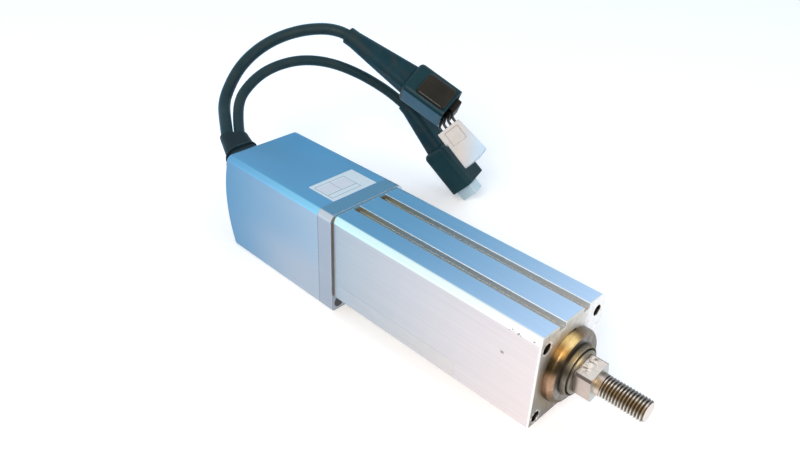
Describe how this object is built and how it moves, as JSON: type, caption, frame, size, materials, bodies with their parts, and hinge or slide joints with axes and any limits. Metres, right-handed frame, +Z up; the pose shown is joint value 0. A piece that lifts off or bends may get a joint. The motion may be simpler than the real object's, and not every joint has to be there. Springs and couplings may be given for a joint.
{
  "type": "electric rod actuator",
  "caption": "Electric rod actuator: a slotted aluminium body with a sliding threaded rod, a motor housing behind it, and two cables with connectors.",
  "frame": {"origin": "on the rod's axis, in the body frame's front face, which is the middle of its four tapped corner holes", "axes": "+X along the rod towards its thread, +Z up through the grooved face, +Y to the cables' side"},
  "size_m": [0.2994, 0.1529, 0.0996],
  "materials": {
    "anodised_aluminium": "satin anodised, lengthwise drawn",
    "housing_aluminium": "satin silver coat",
    "bracket_aluminium": "machined",
    "bronze": "worn, stained",
    "bush_bronze": "sintered",
    "cage_brass": "pressed",
    "rod_steel": "ground and plated",
    "end_steel": "turned and milled, slightly worn",
    "drive_steel": "ground",
    "screw_steel": "black oxide",
    "stator_steel": "laminated",
    "encoder_glass": "clear",
    "board_laminate": "solder mask",
    "disc_plastic": "moulded",
    "black_rubber": "matt",
    "cable_jacket": "smooth",
    "boot_rubber": "smooth, scuffed",
    "hood_plastic": "moulded, half gloss",
    "white_nylon": "translucent nylon",
    "wire_jacket": "smooth"
  },
  "bodies": {
    "housing": {"body_frame": "anodised_aluminium", "front_ring": "bronze", "wiper_seal": "black_rubber", "rod_bush": "bush_bronze", "front_bumper": "black_rubber", "rear_bumper": "black_rubber", "bearing_holder": "bracket_aluminium", "front_bearing_outer": "drive_steel", "front_bearing_cage": "cage_brass", "rear_bearing_outer": "drive_steel", "rear_bearing_cage": "cage_brass", "bearing_retainer": "drive_steel", "frame_gasket": "black_rubber", "motor_bracket": "housing_aluminium", "motor_cover": "housing_aluminium", "motor_front_bell": "bracket_aluminium", "motor_stator": "stator_steel", "motor_rear_bell": "bracket_aluminium", "motor_front_bearing": "drive_steel", "motor_rear_bearing": "drive_steel", "encoder_board": "board_laminate", "encoder_sensor": "disc_plastic", "encoder_standoffs": "drive_steel", "bracket_screws": "screw_steel", "motor_screws": "screw_steel", "cover_screws": "screw_steel", "cable_gland": "black_rubber", "thick_cable": "cable_jacket", "thin_cable": "cable_jacket", "motor_connector_boot": "boot_rubber", "encoder_connector_boot": "boot_rubber", "motor_connector_hood": "hood_plastic", "encoder_connector_hood": "hood_plastic", "motor_plug": "white_nylon", "encoder_plug": "white_nylon", "motor_plug_wires": "wire_jacket"},
    "rod": {"rod_tube": "rod_steel", "rod_end": "end_steel", "ball_nut": "drive_steel", "nut_slider": "drive_steel"},
    "screw": {"ball_screw": "drive_steel", "front_bearing_inner": "drive_steel", "rear_bearing_inner": "drive_steel", "lock_nut": "drive_steel", "coupling_screw_hub": "bracket_aluminium", "coupling_disc": "disc_plastic", "coupling_motor_hub": "bracket_aluminium", "motor_shaft": "drive_steel", "motor_rotor": "stator_steel", "encoder_disc": "encoder_glass"}
  },
  "joints": [
    {"name": "screw_spin", "type": "hinge", "parent": "housing", "child": "screw", "pos_m": [-0.1, 0, 0], "axis": [1, 0, 0], "range_deg": [-1800, 0]},
    {"name": "rod_slide", "type": "slide", "parent": "housing", "child": "rod", "axis": [1, 0, 0], "range_m": [0, 0.05]}
  ],
  "couplings": [
    {"joint": "screw_spin", "follows": "rod_slide", "rad_per_m": -628.3}
  ]
}
